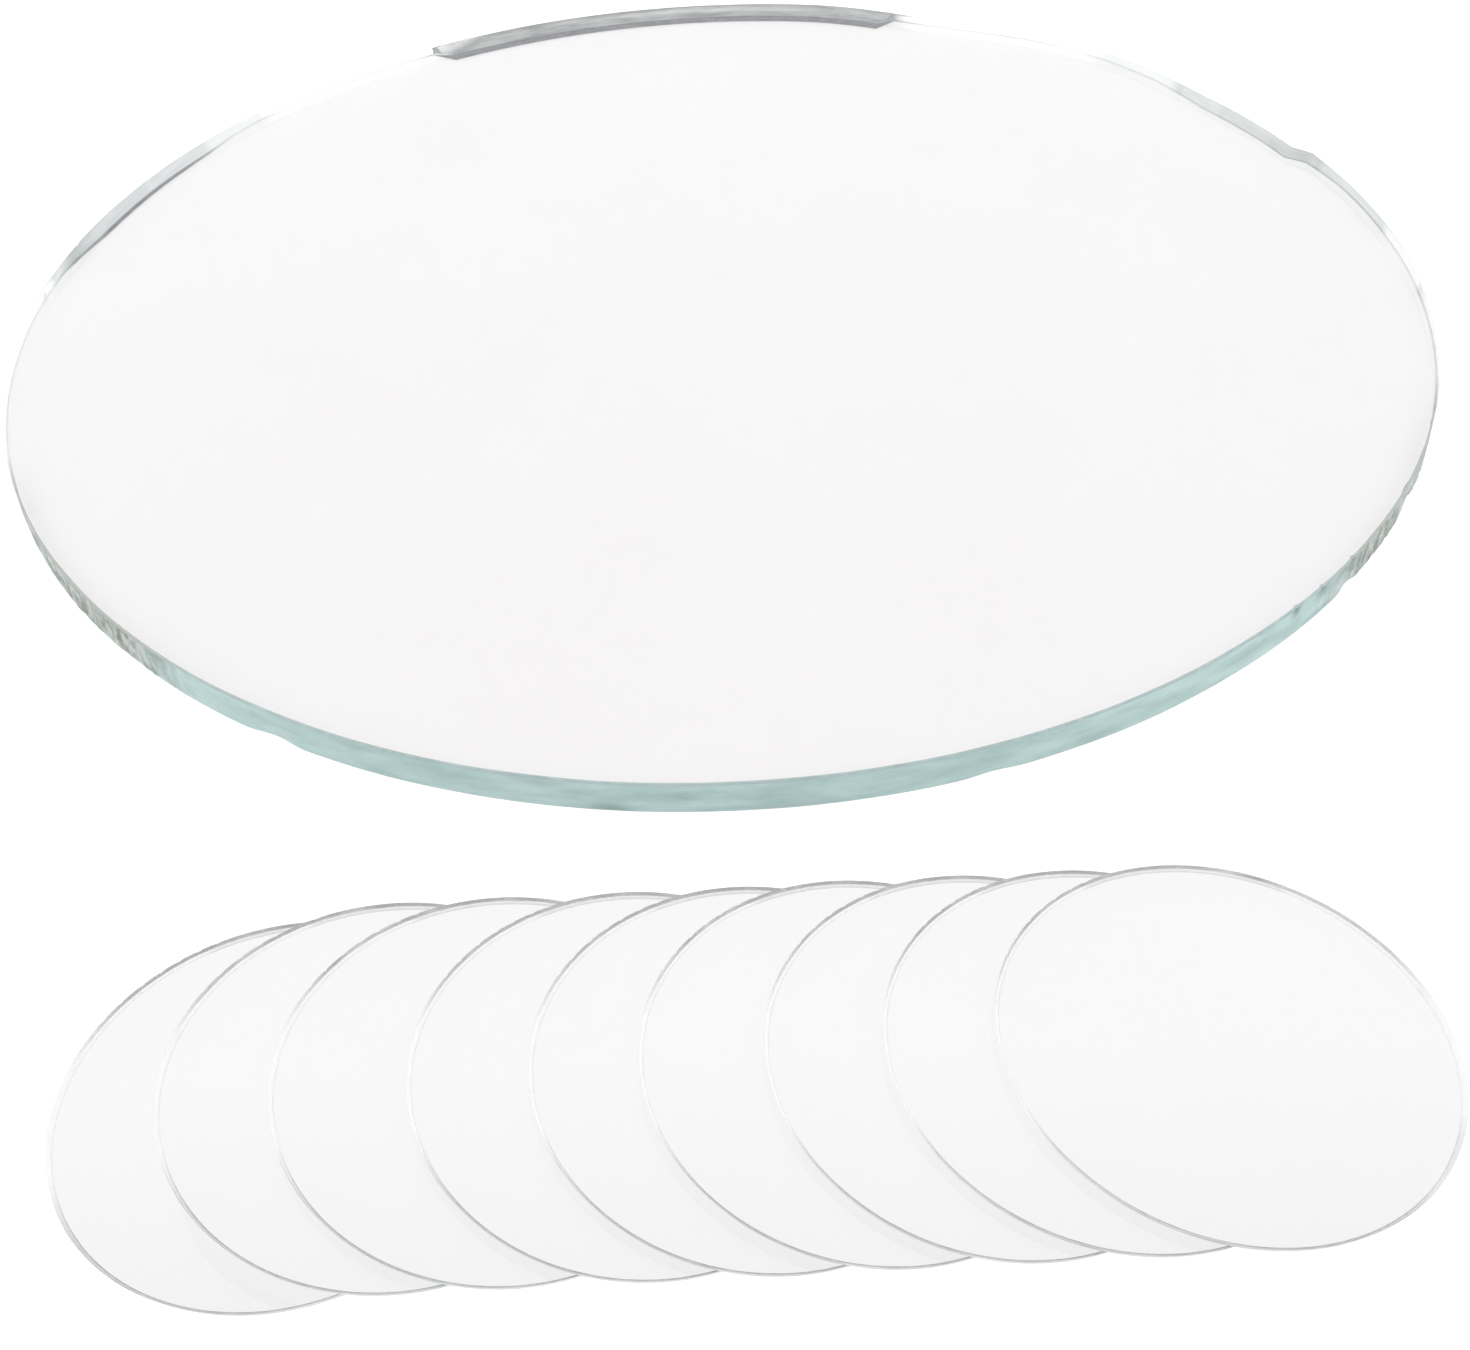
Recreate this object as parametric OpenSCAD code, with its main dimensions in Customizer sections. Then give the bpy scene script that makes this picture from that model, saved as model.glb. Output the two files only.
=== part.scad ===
// A set of ten loose flat round glasses: one large glass and, in front of it,
// a row of nine small glasses. The first small glass lies flat. Each of the
// others lies over the one on its left, with its right-hand rim on the table.
// The origin is the centre of the large glass's underside, +Z is up, and the
// row is on the -Y side.

/* [Large glass] */
// Diameter of the large glass
large_d = 115; // [90:1:150]
// Thickness of the large glass
large_t = 2.5; // [2:0.1:4]
// Width of the flat rubbed along each sharp edge of the large glass
large_seam = 0.15; // [0.05:0.05:0.4]

/* [Small glasses] */
// Diameter of a small glass
small_d = 25; // [20:0.5:30]
// Thickness of a small glass
small_t = 0.6; // [0.4:0.1:0.9]
// Width of the flat rubbed along each sharp edge of a small glass
small_seam = 0.05; // [0.02:0.01:0.1]
// How far the edge of a small glass slopes inwards from its upper to its lower face
small_taper = 0.25; // [0:0.05:0.4]

/* [Row] */
// Distance on the table between the large glass and the row
row_clear = 7.7; // [3:0.1:20]
// Mean step from one small glass to the next
row_step = 6.3; // [5.5:0.1:8]
// How unevenly the row is laid, from 0 for equal steps to 1 for a hand-laid row
unevenness = 1; // [0:0.1:1]
// Air between two small glasses where one rests on the other
rest_gap = 0.03; // [0.02:0.01:0.1]

/* [Hidden] */
$fn = 180;

// How far each step of a hand-laid row is longer or shorter than the mean
STEP_ERRORS = [-0.15, -0.35, 0.9, 0.1, -0.5, 0.35, 0, -0.35];

small_count = len(STEP_ERRORS) + 1;
small_foot = small_d / 2 - small_taper - small_seam;
small_rise = small_t + rest_gap;
row_y = -(large_d / 2 + row_clear + small_d / 2);
steps = [for (e = STEP_ERRORS) row_step + unevenness * e];

// The sum of the first n steps
function walked(n) = n == 0 ? 0 : walked(n - 1) + steps[n - 1];

// The middle of small glass k along X, counted from 0 at the left end
function small_x(k) = walked(k) - walked(small_count - 1) / 2;

// The sine of small glass k's slope. It lies on its left neighbour either at
// that glass's right-hand rim or at its own left-hand rim, whichever is higher.
function lean(k) = k == 0 ? 0 : max(
    small_rise / steps[k - 1],
    (small_rise + (2 * small_foot - steps[k - 1]) * lean(k - 1)) / (2 * small_foot)
);

// A flat round glass on z = 0 whose two sharp edges are rubbed to a narrow flat.
// Its lower face is smaller than its upper face by taper all round.
module round_glass(d, t, seam, taper = 0) {
    rotate_extrude()
        polygon([
            [0, 0],
            [d / 2 - taper - seam, 0],
            [d / 2 - taper, seam],
            [d / 2, t - seam],
            [d / 2 - seam, t],
            [0, t]
        ]);
}

module large_glass() {
    color([0.93, 0.97, 0.96, 0.6]) round_glass(large_d, large_t, large_seam);
}

// Small glass k, counted from 0, standing on its right-hand rim
module small_glass(k) {
    color([0.95, 0.96, 0.96, 0.6])
        translate([small_x(k), row_y, small_foot * lean(k)])
            rotate([0, asin(lean(k)), 0])
                round_glass(small_d, small_t, small_seam, small_taper);
}

large_glass();
small_glass(0);  // small_glass_1
small_glass(1);  // small_glass_2
small_glass(2);  // small_glass_3
small_glass(3);  // small_glass_4
small_glass(4);  // small_glass_5
small_glass(5);  // small_glass_6
small_glass(6);  // small_glass_7
small_glass(7);  // small_glass_8
small_glass(8);  // small_glass_9
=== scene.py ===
import math

import bpy
import numpy as np
from mathutils import Matrix, Vector, noise


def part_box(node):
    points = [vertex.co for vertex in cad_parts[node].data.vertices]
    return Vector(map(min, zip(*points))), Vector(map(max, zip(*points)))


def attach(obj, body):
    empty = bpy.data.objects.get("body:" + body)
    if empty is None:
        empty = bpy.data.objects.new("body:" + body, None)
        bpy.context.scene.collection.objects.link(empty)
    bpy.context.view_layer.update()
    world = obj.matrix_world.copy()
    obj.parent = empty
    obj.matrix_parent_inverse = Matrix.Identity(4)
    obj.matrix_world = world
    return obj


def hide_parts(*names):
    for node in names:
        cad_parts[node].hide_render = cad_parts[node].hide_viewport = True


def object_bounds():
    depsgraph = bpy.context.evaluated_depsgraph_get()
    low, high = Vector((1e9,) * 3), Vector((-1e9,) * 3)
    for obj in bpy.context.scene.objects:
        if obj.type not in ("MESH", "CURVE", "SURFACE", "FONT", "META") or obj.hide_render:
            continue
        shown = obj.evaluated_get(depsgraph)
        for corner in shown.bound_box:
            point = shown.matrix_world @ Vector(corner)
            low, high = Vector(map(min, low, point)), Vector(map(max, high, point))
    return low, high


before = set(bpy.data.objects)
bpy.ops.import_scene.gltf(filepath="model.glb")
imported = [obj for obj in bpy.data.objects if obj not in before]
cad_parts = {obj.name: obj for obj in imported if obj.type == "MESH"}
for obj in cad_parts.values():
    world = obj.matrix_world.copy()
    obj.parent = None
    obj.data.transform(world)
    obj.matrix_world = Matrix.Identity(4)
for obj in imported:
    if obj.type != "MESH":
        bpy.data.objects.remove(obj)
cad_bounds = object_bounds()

# Ten loose flat round glasses on a white table: a large one, and a row of nine small ones that overlap.
# Lengths are in metres. An azimuth on a glass is in degrees, counted from +X towards +Y, so the side
# nearest the camera is at 270. A level on a rim is 0 at the underside and 1 at the upper face.
MM = 0.001
LARGE = "large_glass"
SMALL = sorted(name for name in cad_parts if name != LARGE)

# Glass: refraction, and the colour that its iron gives to light that goes a long way through it
GLASS_IOR = 1.52
IRON_TINT = (0.56, 0.79, 0.77, 1.0)
IRON_DENSITY = 10.0
WHITE = (1.0, 1.0, 1.0, 1.0)

# Rims: points round each, width of the seam along its edges and of the faces' ring next to it, and the
# seed of its ripples
LARGE_POINTS = 1440
LARGE_SEAM = 0.15 * MM
LARGE_RING = 5.0 * MM
LARGE_SEED = 1.7
SMALL_POINTS = 480
SMALL_SEAM = 0.05 * MM
SMALL_RING = 0.8 * MM
SMALL_SEED = 11.3

# Parts of a glass's surface, in the order of its materials
FACE, WALL, SEAM, UNDERSIDE = range(4)

# How upright the normal of a CAD face is, at least, where the face is one of the two flat ones
LEVEL_ENOUGH = 0.9

# Camera: places in diameters of the large glass, from the middle of its upper face
CAMERA_BACK = 1.2130
CAMERA_RISE = 0.7216
CAMERA_PITCH = math.radians(42.105)
CAMERA_ROLL = math.radians(2.772)
CAMERA_LENS_MM = 47.01
SENSOR_MM = 36.0

# Table and light
TABLE_DROP = 0.15 * MM
TABLE_RADIUS = 3.0
TABLE_WHITE = 0.50
TABLE_GLOW = 0.62
SKY_STRENGTH = 1.32
BOUNCES = 40


# ---------------------------------------------------------------- shader helpers

def new_material(name):
    """An empty material, its node tree and its Principled shader, wired to the output."""
    material = bpy.data.materials.new(name)
    material.use_nodes = True
    material.cycles.emission_sampling = "NONE"
    tree = material.node_tree
    shader = tree.nodes["Principled BSDF"]
    shader.inputs["IOR"].default_value = GLASS_IOR
    return material, tree, shader


def add_node(tree, kind, **settings):
    """A shader node whose own properties, or else whose inputs, take the settings."""
    node = tree.nodes.new(kind)
    for key, value in settings.items():
        if hasattr(node, key):
            setattr(node, key, value)
        else:
            node.inputs[key].default_value = value
    return node


def place(tree, stretch=(1, 1, 1)):
    """A point on the glass, in its own unposed frame, stretched along each axis."""
    coords = add_node(tree, "ShaderNodeTexCoord")
    mapping = add_node(tree, "ShaderNodeMapping")
    mapping.inputs["Scale"].default_value = stretch
    tree.links.new(coords.outputs["Object"], mapping.inputs["Vector"])
    return mapping.outputs["Vector"]


def cloud(tree, where, scale, detail=3.0, roughness=0.55):
    """Smooth noise from 0 to 1 at that many features a metre."""
    node = add_node(tree, "ShaderNodeTexNoise", Scale=scale, Detail=detail, Roughness=roughness)
    tree.links.new(where, node.inputs["Vector"])
    return node.outputs["Fac"]


def remap(tree, value, old, new):
    """value, taken from the range old to the range new and kept inside it."""
    node = add_node(tree, "ShaderNodeMapRange")
    for socket, number in zip(("From Min", "From Max", "To Min", "To Max"), (*old, *new)):
        node.inputs[socket].default_value = number
    tree.links.new(value, node.inputs["Value"])
    return node.outputs["Result"]


def blend_colours(tree, share, first, second):
    """first where share is 0 and second where it is 1. Each is a colour or a socket."""
    node = add_node(tree, "ShaderNodeMix", data_type="RGBA")
    tree.links.new(share, node.inputs["Factor"])
    for socket, colour in ((node.inputs["A"], first), (node.inputs["B"], second)):
        if isinstance(colour, tuple):
            socket.default_value = (*colour, 1.0)
        else:
            tree.links.new(colour, socket)
    return node.outputs["Result"]


def multiply(tree, first, second):
    """The product of two sockets."""
    node = add_node(tree, "ShaderNodeMath", operation="MULTIPLY")
    tree.links.new(first, node.inputs[0])
    tree.links.new(second, node.inputs[1])
    return node.outputs[0]


def painted(tree, name):
    """A number that the mesh carries at each of its points."""
    return add_node(tree, "ShaderNodeAttribute", attribute_name=name).outputs["Fac"]


def from_inside(tree, outside, inside):
    """outside where light meets the surface from the air, and inside where it meets it from the glass."""
    side = add_node(tree, "ShaderNodeNewGeometry").outputs["Backfacing"]
    node = add_node(tree, "ShaderNodeMix", data_type="FLOAT")
    tree.links.new(side, node.inputs["Factor"])
    for socket, value in ((node.inputs["A"], outside), (node.inputs["B"], inside)):
        if isinstance(value, float):
            socket.default_value = value
        else:
            tree.links.new(value, socket)
    return node.outputs["Result"]


def bump(tree, shader, height, strength, distance):
    """Small relief from a height of 0 to 1, which stands for that distance."""
    node = add_node(tree, "ShaderNodeBump", Strength=strength, Distance=distance)
    tree.links.new(height, node.inputs["Height"])
    tree.links.new(node.outputs["Normal"], shader.inputs["Normal"])


def tint_inside(tree):
    """The glass's own green, which deepens with the length of glass that light goes through."""
    volume = add_node(tree, "ShaderNodeVolumeAbsorption", Color=IRON_TINT, Density=IRON_DENSITY)
    tree.links.new(volume.outputs["Volume"], tree.nodes["Material Output"].inputs["Volume"])


# ---------------------------------------------------------------- materials

def polished_face(name, dark, pale):
    """A fire-polished face: nearly perfect, with very faint smears in its tint and its gloss."""
    material, tree, shader = new_material(name)
    smears = cloud(tree, place(tree), 45.0, detail=4.0)
    tint = blend_colours(tree, remap(tree, smears, (0.35, 0.65), (0.0, 1.0)), dark, pale)
    tree.links.new(tint, shader.inputs["Base Color"])
    tree.links.new(remap(tree, smears, (0.4, 0.7), (0.0, 0.035)), shader.inputs["Roughness"])
    shader.inputs["Transmission Weight"].default_value = 1.0
    tint_inside(tree)
    return material


def glowing_milky_underside(name, colour, glow):
    """An underside that hides what lies beneath it and glows white, a little less towards the front: the
    glow is painted light that fills in the shade that glasses lying above would cast, and its dimming
    towards the front is painted shade.
    """
    material, tree, shader = new_material(name)
    smears = cloud(tree, place(tree), 60.0, detail=3.0)
    lighter = tuple(min(1.0, 1.03 * part) for part in colour)
    tint = blend_colours(tree, remap(tree, smears, (0.35, 0.65), (0.0, 1.0)), colour, lighter)
    tree.links.new(tint, shader.inputs["Base Color"])
    shader.inputs["Roughness"].default_value = 0.5
    shader.inputs["Emission Color"].default_value = WHITE
    # Painted shade: the glow is a little weaker towards the front edge.
    strength = remap(tree, painted(tree, "front"), (0.0, 1.0), (glow, 0.955 * glow))
    tree.links.new(strength, shader.inputs["Emission Strength"])
    tint_inside(tree)
    return material


def painted_glow_wash(tree, shader, colour, pale_colour, glow):
    """Gives a rim its colour, and washes it out with painted light, a white glow and a paler colour, where
    the mesh is marked faded outside or pale inside.
    """
    pale = from_inside(tree, painted(tree, "faded"), painted(tree, "pale"))
    tree.links.new(blend_colours(tree, pale, colour, pale_colour), shader.inputs["Base Color"])
    shader.inputs["Emission Color"].default_value = WHITE
    tree.links.new(remap(tree, pale, (0.0, 1.0), (0.0, glow)), shader.inputs["Emission Strength"])


def cut_edge(name, tones, streak, glow):
    """The cut wall of a glass: mottled, scratched where it was rubbed, clear where the break was clean. Its
    inside is painted grey at the back, and a painted glow washes it out in places.
    """
    material, tree, shader = new_material(name)
    along = place(tree, (1.0, 1.0, streak))
    mottle = remap(tree, cloud(tree, along, 210.0, detail=5.0, roughness=0.62), (0.37, 0.64), (0.0, 1.0))
    grit = cloud(tree, place(tree), 1400.0, detail=4.0, roughness=0.7)
    scratches = cloud(tree, place(tree, (1.0, 1.0, 0.6)), 1300.0, detail=5.0, roughness=0.7)
    wall = blend_colours(tree, mottle, tones["light"], tones["deep"])
    haze = blend_colours(tree, mottle, tones["haze"], tones["dusk"])
    # Where the mesh is marked grey, the wall's inside is painted grey and dark (haze and dusk) in place of
    # the reflections and shade that the back rim shows through the glass.
    wall = blend_colours(tree, from_inside(tree, 0.0, painted(tree, "grey")), wall, haze)
    scored = remap(tree, scratches, (0.41, 0.59), (0.0, 1.0))
    worn = blend_colours(tree, scored, tones["worn"], tones["scratch"])
    wall = blend_colours(tree, painted(tree, "rubbed"), wall, worn)
    wall = blend_colours(tree, painted(tree, "dark"), wall, tones["dark"])
    # Painted light: a white glow and the pale colour wash the wall out where it is marked faded or pale.
    painted_glow_wash(tree, shader, wall, tones["pale"], glow)
    clean = from_inside(tree, 0.0, painted(tree, "clear"))
    dull = remap(tree, clean, (0.0, 1.0), (1.0, 0.06))
    roughness = multiply(tree, remap(tree, grit, (0.3, 0.7), (0.28, 0.6)), dull)
    tree.links.new(roughness, shader.inputs["Roughness"])
    tree.links.new(remap(tree, clean, (0.0, 1.0), (0.25, 1.0)), shader.inputs["Transmission Weight"])
    bump(tree, shader, multiply(tree, grit, dull), 0.35, 0.04 * MM)
    tint_inside(tree)
    return material


def rubbed_seam(name, tones, glow):
    """The narrow flat along a sharp edge, where a stone took the edge off: dull and uneven."""
    material, tree, shader = new_material(name)
    grit = cloud(tree, place(tree), 900.0, detail=5.0, roughness=0.7)
    grain = remap(tree, grit, (0.35, 0.65), (0.0, 1.0))
    green = blend_colours(tree, grain, tones["light"], tones["deep"])
    haze = blend_colours(tree, grain, tones["haze"], tones["dusk"])
    # Where the mesh is marked grey, the seam's inside is painted grey and dark (haze and dusk) in place of
    # the reflections and shade seen through the glass.
    tint = blend_colours(tree, from_inside(tree, 0.0, painted(tree, "grey")), green, haze)
    tint = blend_colours(tree, painted(tree, "rubbed"), tint, tones["worn"])
    # Painted light: a white glow and the pale colour wash the seam out where it is marked faded or pale.
    painted_glow_wash(tree, shader, tint, tones["pale"], glow)
    clean = from_inside(tree, 0.0, painted(tree, "clear"))
    dull = remap(tree, clean, (0.0, 1.0), (1.0, 0.1))
    roughness = multiply(tree, remap(tree, grain, (0.0, 1.0), (0.35, 0.65)), dull)
    tree.links.new(roughness, shader.inputs["Roughness"])
    tree.links.new(remap(tree, clean, (0.0, 1.0), (0.1, 0.95)), shader.inputs["Transmission Weight"])
    bump(tree, shader, multiply(tree, grain, dull), 0.4, 0.03 * MM)
    tint_inside(tree)
    return material


def large_materials():
    """The materials of the large glass's face, wall, seams and underside, in that order."""
    # haze and dusk are painted on the rim's inside at the back, grey and dark in place of the reflections
    # and shade seen there through the glass; pale is the colour where a painted glow washes the rim out.
    wall = {
        "light": (0.445, 0.585, 0.57), "deep": (0.320, 0.455, 0.45),
        "haze": (0.80, 0.74, 0.75), "dusk": (0.38, 0.35, 0.37),
        "worn": (0.46, 0.49, 0.46), "scratch": (0.13, 0.15, 0.13),
        "dark": (0.13, 0.18, 0.17), "pale": (0.65, 0.58, 0.59),
    }
    seam = {
        "light": (0.38, 0.47, 0.465), "deep": (0.30, 0.38, 0.38), "worn": (0.36, 0.38, 0.36),
        "haze": (0.29, 0.28, 0.31), "dusk": (0.17, 0.16, 0.19), "pale": (0.55, 0.55, 0.55),
    }
    face = polished_face("large_face", (0.797, 0.780, 0.782), (0.805, 0.790, 0.790))
    return [face, cut_edge("large_edge", wall, 5.0, 0.72), rubbed_seam("large_seam", seam, 0.45), face]


def small_materials():
    """The materials of the small glasses' face, wall, seams and glowing milky underside, in that order."""
    # haze and dusk are painted on the rim's inside at the back, grey and dark in place of the reflections
    # and shade seen there through the glass; pale is the colour where a painted glow washes the rim out.
    wall = {
        "light": (0.60, 0.61, 0.61), "deep": (0.42, 0.43, 0.43),
        "haze": (0.50, 0.50, 0.50), "dusk": (0.24, 0.24, 0.25),
        "worn": (0.40, 0.40, 0.40), "scratch": (0.16, 0.16, 0.16),
        "dark": (0.22, 0.22, 0.22), "pale": (0.42, 0.42, 0.42),
    }
    seam = {
        "light": (0.46, 0.47, 0.47), "deep": (0.32, 0.33, 0.33), "worn": (0.25, 0.25, 0.25),
        "haze": (0.36, 0.36, 0.37), "dusk": (0.22, 0.22, 0.23), "pale": (0.42, 0.42, 0.42),
    }
    face = polished_face("small_face", (0.99, 0.99, 0.99), (1.0, 1.0, 1.0))
    glowing_milk = glowing_milky_underside("small_underside", (0.06, 0.06, 0.06), 0.821)
    return [face, cut_edge("small_edge", wall, 9.0, 0.38), rubbed_seam("small_seam", seam, 0.35), glowing_milk]


# ---------------------------------------------------------------- glass shapes

def flat_face(mesh, sign):
    """The polygons of a glass's flat face that looks up (sign 1) or down (-1)."""
    return [polygon for polygon in mesh.polygons if sign * polygon.normal.z > LEVEL_ENOUGH]


def facing(mesh, sign):
    """The middle and the outward normal of a glass's upper (sign 1) or lower (-1) flat face."""
    flats = flat_face(mesh, sign)
    area = sum(p.area for p in flats)
    middle = sum((p.center * p.area for p in flats), Vector()) / area
    normal = sum((p.normal * p.area for p in flats), Vector()).normalized()
    return middle, normal


def flat_radius(mesh, sign, middle):
    """How far the upper (sign 1) or lower (-1) flat face reaches from its middle."""
    corners = {i for p in flat_face(mesh, sign) for i in p.vertices}
    return max((mesh.vertices[i].co - middle).length for i in corners)


def lie_of(node):
    """How the frame holds a glass: its matrix from lying flat on z = 0, radius, thickness and taper."""
    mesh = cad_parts[node].data
    foot, _ = facing(mesh, -1)
    head, up = facing(mesh, 1)
    low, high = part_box(node)
    along_y = Vector((0, 1, 0))
    across = along_y.cross(up).normalized()
    turn = Matrix((across, along_y, up)).transposed().to_4x4()
    taper = max(0.0, flat_radius(mesh, 1, head) - flat_radius(mesh, -1, foot))
    return Matrix.Translation(foot) @ turn, (high.y - low.y) / 2, (head - foot).length, taper


def degrees_from(azimuths, centre):
    """How far each azimuth is from centre, the short way round."""
    return np.abs((azimuths - centre + 180.0) % 360.0 - 180.0)


def near_azimuth(azimuths, centre, width):
    """1 at centre, falling smoothly to 0 over width degrees on each side."""
    share = np.clip(1.0 - degrees_from(azimuths, centre) / width, 0.0, 1.0)
    return share ** 2 * (3.0 - 2.0 * share)


def stretches(azimuths, spans, fade):
    """1 inside each (from, to) stretch of the rim, fading to 0 over fade degrees outside it."""
    total = np.zeros_like(azimuths)
    for start, end in spans:
        middle, half = (start + end) / 2.0, (end - start) / 2.0
        outside = degrees_from(azimuths, middle) - half
        total = np.maximum(total, np.clip(1.0 - outside / fade, 0.0, 1.0))
    return total


def levels(azimuths, rows):
    """The highest of the rows (from, to, fade, level) at each azimuth, and 0 outside them all."""
    each = [level * stretches(azimuths, [(start, end)], fade) for start, end, fade, level in rows]
    return np.max(each, axis=0)


def grid_noise(azimuths, radius, heights, along, across, seed):
    """Noise from -1 to 1 on the wall, with features that long along it and that tall across it."""
    around = np.radians(azimuths)
    places = np.stack([np.cos(around) * radius / along, np.sin(around) * radius / along], 1)
    return np.array([
        [noise.noise(Vector((x + seed, y - seed, z / across + 3.1 * seed))) for x, y in places]
        for z in heights
    ])


def spots(azimuths, radius, profile, places):
    """0 to 1 over the wall: soft spots, each (azimuth, level, long, tall, strength).

    A spot has half its strength that long to each side, and 0.37 of it that tall above and below.
    """
    heights = np.array([height for _, height in profile])
    total = np.zeros((len(heights), len(azimuths)))
    for azimuth, level, long, tall, strength in places:
        around = near_azimuth(azimuths, azimuth, math.degrees(2.0 * long / radius))
        up = np.exp(-((heights - level * heights[-1]) / tall) ** 2)
        total = np.maximum(total, strength * around[None, :] * up[:, None])
    return total


def wall_profile(thickness, seam, taper, seam_rows, wall_rows):
    """(inset, height) of each ring of the rim, from the underside to the upper face."""
    bend = [math.pi / 2 * i / seam_rows for i in range(seam_rows + 1)]
    lower = [(seam * (1 - math.sin(a)), seam * (1 - math.cos(a))) for a in bend]
    rise = thickness - 2 * seam
    middle = [(0.0, seam + rise * i / wall_rows) for i in range(1, wall_rows)]
    upper = [(inset, thickness - height) for inset, height in reversed(lower)]
    return [(inset + taper * (1 - height / thickness), height) for inset, height in lower + middle + upper]


def rim_points(azimuths, radius, profile, seed, ripple, rough, chips):
    """Radius of every point of the rim: the profile, less ripples, rubbed roughness and chips.

    ripple is (length, height, depth), rough is (where, grain size, depth), and each chip is
    (azimuth, level, half length, half height, depth).
    """
    heights = [height for _, height in profile]
    top = heights[-1]
    insets = np.array([inset for inset, _ in profile])[:, None]
    wave_length, wave_height, wave_depth = ripple
    waves = grid_noise(azimuths, radius, heights, wave_length, wave_height, seed)
    inward = wave_depth * (0.5 + 0.5 * waves)
    zones, rough_size, rough_depth = rough
    below_top = [(top - height) / (0.25 * top) for height in heights]
    below = np.array([1.0 - 0.85 * math.exp(-drop ** 2) for drop in below_top])[:, None]
    pits = grid_noise(azimuths, radius, heights, rough_size, rough_size, seed + 7.0)
    inward = inward + zones[None, :] * rough_depth * below * np.clip(0.45 + pits, 0.0, 1.0)
    for azimuth, level, long, tall, deep in chips:
        around = near_azimuth(azimuths, azimuth, math.degrees(long / radius))
        up = np.array([math.exp(-((height - level * top) / tall) ** 2) for height in heights])
        inward = inward + deep * around[None, :] * up[:, None]
    return radius - insets - inward


def glass_mesh(name, matrix, azimuths, radii, profile, seam_rows, ring_width, marks):
    """A closed glass: two flat faces and the rim between them. marks are numbers kept for the materials."""
    count, rings = len(azimuths), len(profile)
    around = np.radians(azimuths)
    cos, sin = np.cos(around), np.sin(around)
    points = []
    for ring, (_, height) in enumerate(profile):
        points += zip(radii[ring] * cos, radii[ring] * sin, [height] * count)
    top, bottom = profile[-1][1], profile[0][1]
    for height in (bottom, top):
        inner = radii.max() - ring_width
        points += zip(inner * cos, inner * sin, [height] * count)
    points += [(0.0, 0.0, bottom), (0.0, 0.0, top)]
    low_ring, high_ring = rings * count, (rings + 1) * count
    low_hub, high_hub = (rings + 2) * count, (rings + 2) * count + 1
    faces, slots = [], []
    for i in range(count):
        j = (i + 1) % count
        for ring in range(rings - 1):
            a, b = ring * count, (ring + 1) * count
            faces.append((a + i, a + j, b + j, b + i))
            slots.append(SEAM if ring < seam_rows or ring >= rings - 1 - seam_rows else WALL)
        last = (rings - 1) * count
        faces += [(j, i, low_ring + i, low_ring + j), (low_ring + j, low_ring + i, low_hub)]
        faces.append((last + i, last + j, high_ring + j, high_ring + i))
        faces.append((high_ring + i, high_ring + j, high_hub))
        slots += [UNDERSIDE, UNDERSIDE, FACE, FACE]
    mesh = bpy.data.meshes.new(name)
    mesh.from_pydata([tuple(map(float, p)) for p in points], [], faces)
    mesh.polygons.foreach_set("material_index", slots)
    mesh.polygons.foreach_set("use_smooth", [slot in (WALL, SEAM) for slot in slots])
    for mark, values in marks.items():
        layer = mesh.attributes.new(mark, "FLOAT", "POINT")
        grid = np.broadcast_to(values, (rings, count))
        full = np.concatenate([grid.ravel(), grid[0], grid[-1], [0.0, 0.0]]).astype(np.float32)
        layer.data.foreach_set("value", full)
    mesh.transform(matrix)
    mesh.validate()
    mesh.update()
    return mesh


def add_piece(node, mesh, materials):
    """Shows a glass in place of its CAD solid, riding on the same body."""
    for material in materials:
        mesh.materials.append(material)
    piece = bpy.data.objects.new(node + "_plate", mesh)
    bpy.context.scene.collection.objects.link(piece)
    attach(piece, node)
    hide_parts(node)


def large_rim(azimuths, radius, thickness, profile, rubbed):
    """Radius of every point of the large glass's hand-cut rim, and the depth of the lip under its edge."""
    hazy = stretches(azimuths, [(71, 117.5)], 1.5)
    wedges = stretches(azimuths, [(21, 33), (147, 164)], 7.0)
    cut_off = np.minimum(stretches(azimuths, [(20.5, 33)], 14.0), stretches(azimuths, [(20.8, 50)], 1.8))
    nicks = [(azimuth, 1.0, 0.30 * MM, 0.3 * MM, 0.14 * MM) for azimuth in (310.5, 313.5, 317.5, 167.0)]
    dents = [
        (238.5, 0.0, 2.6 * MM, 0.8 * MM, 0.30 * MM),
        (286.0, 0.0, 2.4 * MM, 0.6 * MM, 0.15 * MM),
        (317.5, 0.0, 1.6 * MM, 0.6 * MM, 0.22 * MM),
        (328.5, 0.0, 2.2 * MM, 0.6 * MM, 0.26 * MM),
    ]
    flat = (65.0, 0.5, 14.0 * MM, 1000.0 * MM, 1.0 * MM)
    ripple = (6.0 * MM, 1.1 * MM, 0.07 * MM)
    rough = (rubbed, 0.6 * MM, 0.07 * MM)
    radii = rim_points(azimuths, radius, profile, LARGE_SEED, ripple, rough, nicks + dents + [flat])
    undercut = 1.4 * MM * hazy + 0.6 * MM * wedges
    lip = 0.95 * MM * hazy + 0.32 * MM * stretches(azimuths, [(151, 162)], 8.0)
    fall = np.array([1.0 - height / thickness for _, height in profile])
    radii -= fall[:, None] * undercut[None, :] + 1.0 * MM * cut_off
    radii[0] -= lip
    return radii, lip


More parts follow.
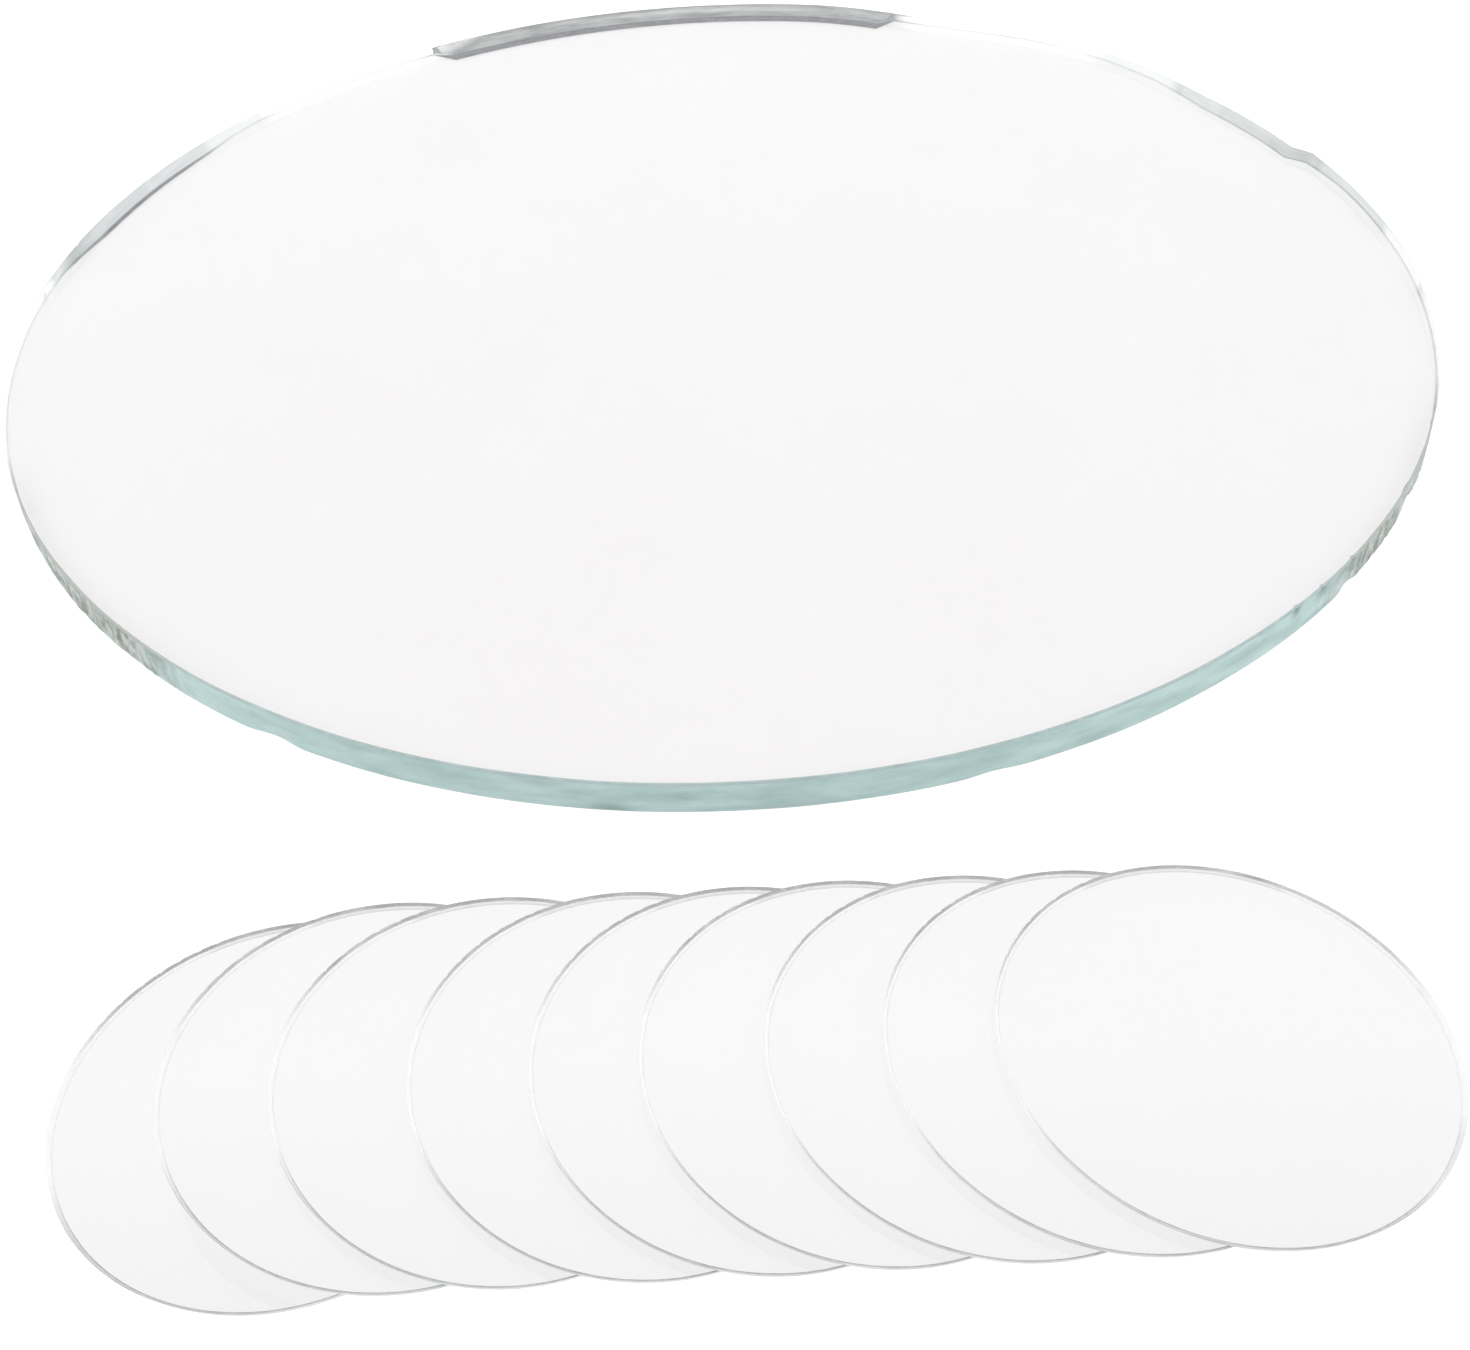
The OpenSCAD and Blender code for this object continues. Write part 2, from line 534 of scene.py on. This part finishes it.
def large_marks(azimuths, radius, thickness, profile, rubbed, lip):
    """What the large glass's rim is like at each of its points, for its materials, including where painted
    light and shade go.
    """
    gap_starts = [120.5 - 6.0 * height / thickness for _, height in profile]
    gaps = np.array([stretches(azimuths, [(49, 68), (start, 137)], 2.5) for start in gap_starts])
    # Painted light: pale gives, by azimuth, how far a white glow and a paler colour wash out the rim's
    # inside, in place of the light that falls on those stretches.
    pale = levels(azimuths, (
        (-17, -6, 7, 0.80), (-3, 5, 3, 0.87), (6, 17, 2, 0.57), (18, 24, 3, 0.42), (24, 31, 3, 0.53),
        (31, 36, 3, 0.63), (38, 66, 4, 0.85), (121, 146, 4, 0.85), (147, 155, 4, 0.62), (155, 164, 7, 0.53),
        (173, 198, 6, 0.97),
    ))
    on_lip = np.array([ring < 2 for ring in range(len(profile))])[:, None]
    above_lip = 1.0 - on_lip * np.clip(lip / (0.3 * MM), 0.0, 1.0)[None, :]
    # Darker spots on the rim; the three high up at 310.5, 313.5 and 317.5 sit on the nicks there and are
    # painted shade in those chips.
    dark = spots(azimuths, radius, profile, [
        (172.0, 0.60, 0.6 * MM, 0.80 * MM, 0.40), (174.5, 0.30, 0.4 * MM, 0.60 * MM, 0.35),
        (228.0, 0.90, 0.9 * MM, 0.40 * MM, 0.70), (245.0, 0.80, 1.4 * MM, 0.40 * MM, 0.20),
        (257.0, 0.85, 1.6 * MM, 0.35 * MM, 0.25), (262.0, 0.10, 0.9 * MM, 0.50 * MM, 0.60),
        (266.5, 0.60, 0.5 * MM, 0.40 * MM, 0.20), (273.0, 0.10, 2.2 * MM, 0.30 * MM, 0.35),
        (294.0, 0.20, 1.8 * MM, 0.40 * MM, 0.20), (305.0, 0.50, 3.0 * MM, 0.60 * MM, 0.15),
        (310.5, 0.90, 0.4 * MM, 0.50 * MM, 0.90), (313.5, 0.90, 0.6 * MM, 0.40 * MM, 0.80),
        (317.5, 0.90, 0.7 * MM, 0.40 * MM, 0.80),
    ])
    # Painted highlight: a long bright streak high on the back rim, added to the pale glow.
    painted_gleam = spots(azimuths, radius, profile, [(89.0, 0.62, 12.0 * MM, 0.40 * MM, 0.32)])
    upper_seam = np.array([height > thickness - 1.05 * LARGE_SEAM for _, height in profile])
    # Painted light: a white glow washes out the outside of the upper seam at both sides.
    faded = 0.65 * stretches(azimuths, [(178, 199), (343, 360)], 5.0)
    return {
        # grey marks the back half, where the rim's inside is painted grey and dark in place of the
        # reflections and shade seen through the glass.
        "rubbed": rubbed, "clear": gaps, "grey": stretches(azimuths, [(-17, 199)], 8.0),
        "pale": np.maximum(pale, painted_gleam) * above_lip * (1.0 - dark),
        "faded": upper_seam[:, None] * faded[None, :],
        "dark": dark,
    }


def large_glass(materials):
    """The large glass, whose edge is undercut at the back and rubbed at both front corners."""
    matrix, radius, thickness, _ = lie_of(LARGE)
    azimuths = np.arange(LARGE_POINTS) * (360.0 / LARGE_POINTS)
    seam_rows, wall_rows = 3, 14
    profile = wall_profile(thickness, LARGE_SEAM, 0.0, seam_rows, wall_rows)
    rubbed = stretches(azimuths, [(206, 225), (319, 338)], 7.0)
    radii, lip = large_rim(azimuths, radius, thickness, profile, rubbed)
    marks = large_marks(azimuths, radius, thickness, profile, rubbed, lip)
    mesh = glass_mesh(LARGE, matrix, azimuths, radii, profile, seam_rows, LARGE_RING, marks)
    add_piece(LARGE, mesh, materials)


def small_marks(azimuths, radius, thickness, profile, rubbed, number):
    """What a small glass's rim is like at each of its points, for its materials, including where painted
    light and shade go.
    """
    # Painted light: at the sides, a white glow and a paler colour wash out the rim's inside.
    sides = levels(azimuths, (
        (-46, -20, 12, 0.60), (-20, 14, 22, 1.0), (20, 62, 6, 0.30), (168, 200, 22, 1.0),
    ))
    # Painted light: the same glow washes out the rim's outside at the sides.
    faded = levels(azimuths, (
        (172, 203, 16, 1.0), (200, 222, 15, 0.3), (318, 340, 16, 0.85), (342, 362, 16, 1.0),
    ))
    # back marks where the rim's inside is painted grey and dark in place of reflections and shade; thin lets
    # a painted glow wash out the lower part of the back rim, so that it looks thinner.
    back = stretches(azimuths, [(20, 160)], 12.0)
    thin = np.maximum(0.75 * back, stretches(azimuths, [(20, 60), (120, 165)], 12.0))
    low = np.array([height < 0.4 * thickness for _, height in profile])
    shift = number % 4
    knots = [(azimuth + shift, 0.9, 0.5 * MM, 0.20 * MM, 0.8) for azimuth in (70, 118, 129, 141)]
    knots += [(azimuth + shift, 0.7, 0.9 * MM, 0.35 * MM, 0.8) for azimuth in (86, 98)]
    return {
        "rubbed": rubbed * 0.5, "clear": np.zeros_like(azimuths), "grey": back,
        "pale": np.maximum(sides[None, :], thin[None, :] * low[:, None]),
        "faded": faded,
        "dark": spots(azimuths, radius, profile, knots),
        # front is 1 at the front edge; it sets the painted shade in the underside's glow.
        "front": np.clip(-np.sin(np.radians(azimuths)), 0.0, 1.0),
    }


def small_glass(node, number, materials):
    """One small glass: its edge is grey at the back and front, and fades into white at the sides, where a
    painted glow washes it out.
    """
    matrix, radius, thickness, taper = lie_of(node)
    azimuths = np.arange(SMALL_POINTS) * (360.0 / SMALL_POINTS)
    seam_rows, wall_rows = 2, 6
    profile = wall_profile(thickness, SMALL_SEAM, taper, seam_rows, wall_rows)
    rubbed = stretches(azimuths, [(95, 120)], 10.0)
    bitten = [azimuth + number % 3 for azimuth in (116, 121, 127, 132, 138, 145, 151)]
    nicks = [(azimuth, 1.0, 0.22 * MM, 0.15 * MM, 0.05 * MM) for azimuth in bitten]
    ripple = (2.5 * MM, 0.5 * MM, 0.02 * MM)
    rough = (rubbed, 0.4 * MM, 0.02 * MM)
    radii = rim_points(azimuths, radius, profile, SMALL_SEED + number, ripple, rough, nicks)
    marks = small_marks(azimuths, radius, thickness, profile, rubbed, number)
    mesh = glass_mesh(node, matrix, azimuths, radii, profile, seam_rows, SMALL_RING, marks)
    add_piece(node, mesh, materials)


# ---------------------------------------------------------------- stage, light and camera

def white_paint():
    """The white of the table, lit partly from below so that nothing casts a shadow on it."""
    material, tree, shader = new_material("table_white")
    shader.inputs["Base Color"].default_value = (TABLE_WHITE, TABLE_WHITE, TABLE_WHITE, 1.0)
    shader.inputs["Roughness"].default_value = 1.0
    shader.inputs["Specular IOR Level"].default_value = 0.0
    shader.inputs["Emission Color"].default_value = WHITE
    shader.inputs["Emission Strength"].default_value = TABLE_GLOW
    return material


def table():
    """A wide plain white disc just under the glasses."""
    bpy.ops.mesh.primitive_circle_add(
        vertices=96, radius=TABLE_RADIUS, fill_type="NGON", location=(0, 0, cad_bounds[0].z - TABLE_DROP)
    )
    disc = bpy.context.object
    disc.name = "table"
    disc.data.materials.append(white_paint())


def sky():
    """Even white light from all round, as in a light tent."""
    world = bpy.data.worlds.new("light_tent")
    bpy.context.scene.world = world
    world.use_nodes = True
    background = world.node_tree.nodes["Background"]
    background.inputs["Color"].default_value = WHITE
    background.inputs["Strength"].default_value = SKY_STRENGTH


def camera():
    """Looks down on the large glass from the front, with the table's line rising a little to the right."""
    low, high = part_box(LARGE)
    diameter = high.x - low.x
    face = Vector(((low.x + high.x) / 2, (low.y + high.y) / 2, high.z))
    data = bpy.data.cameras.new("camera")
    data.lens = CAMERA_LENS_MM
    data.sensor_width = SENSOR_MM
    data.clip_start = 1 * MM
    eye = bpy.data.objects.new("camera", data)
    bpy.context.scene.collection.objects.link(eye)
    aim = Matrix.Rotation(math.pi / 2 - CAMERA_PITCH, 4, "X") @ Matrix.Rotation(-CAMERA_ROLL, 4, "Z")
    spot = face + diameter * Vector((0.0, -CAMERA_BACK, CAMERA_RISE))
    eye.matrix_world = Matrix.Translation(spot) @ aim
    bpy.context.scene.camera = eye


def look():
    """Plain colours, and enough bounces for light to run the whole width of a glass inside it."""
    scene = bpy.context.scene
    scene.view_settings.view_transform = "Standard"
    scene.cycles.blur_glossy = 0.0
    scene.cycles.max_bounces = BOUNCES
    scene.cycles.glossy_bounces = BOUNCES
    scene.cycles.transmission_bounces = BOUNCES


look()
camera()
sky()
table()
large_glass(large_materials())
row_materials = small_materials()
for number, node in enumerate(SMALL):
    small_glass(node, number, row_materials)
